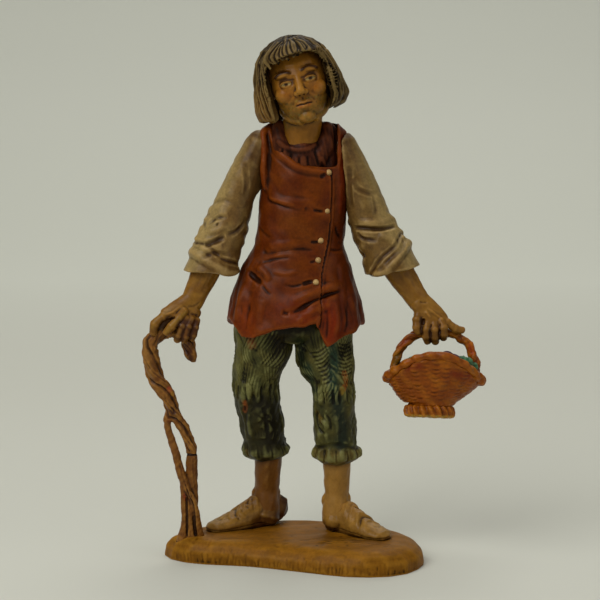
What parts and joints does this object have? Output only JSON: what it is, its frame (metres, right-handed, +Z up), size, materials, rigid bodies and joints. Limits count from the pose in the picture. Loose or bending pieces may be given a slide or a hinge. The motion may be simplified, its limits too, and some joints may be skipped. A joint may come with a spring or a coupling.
{
  "type": "nativity figurine",
  "caption": "Painted moulded nativity figurine of a ragged peasant who leans on a gnarled staff and carries a wicker basket, standing on an earth-coloured base",
  "frame": {"origin": "the middle of the base's flat underside", "axes": "+X to the figure's left hand, the basket side; +Y to its back; +Z up"},
  "size_m": [0.0777, 0.039, 0.1191],
  "materials": {
    "ground_paint": "moulded plastic, earth brown paint under a dark wash",
    "shoe_paint": "moulded plastic, tan leather paint under a brown wash",
    "skin_paint": "moulded plastic, satin flesh paint under a brown wash",
    "trouser_paint": "moulded plastic, olive green paint with dry-brushed ridges",
    "tunic_paint": "moulded plastic, brick red paint under a dark wash",
    "button_paint": "moulded plastic, pale gold paint",
    "undershirt_paint": "moulded plastic, dark brown paint",
    "hair_paint": "moulded plastic, dark brown paint with grey dry-brushed locks",
    "shirt_paint": "moulded plastic, off-white linen paint under a brown wash",
    "staff_paint": "moulded plastic, bark brown paint",
    "basket_paint": "moulded plastic, orange-brown wicker paint",
    "leaf_paint": "moulded plastic, leaf green paint",
    "fruit_paint": "moulded plastic, dark purple satin paint"
  },
  "bodies": {
    "root": {"base": "ground_paint", "right_shoe": "shoe_paint", "left_shoe": "shoe_paint", "right_shin": "skin_paint", "left_shin": "skin_paint", "trousers": "trouser_paint", "tunic": "tunic_paint", "tunic_button_1": "button_paint", "tunic_button_2": "button_paint", "tunic_button_3": "button_paint", "tunic_button_4": "button_paint", "tunic_button_5": "button_paint", "undershirt": "undershirt_paint", "head": "skin_paint", "hair": "hair_paint", "right_sleeve": "shirt_paint", "left_sleeve": "shirt_paint", "right_forearm": "skin_paint", "left_forearm": "skin_paint", "staff_upper": "staff_paint", "staff_lower": "staff_paint", "basket_body": "basket_paint", "basket_rim": "basket_paint", "basket_foot": "basket_paint", "basket_handle": "basket_paint", "basket_greens": "leaf_paint", "basket_fruit": "fruit_paint"}
  },
  "joints": []
}
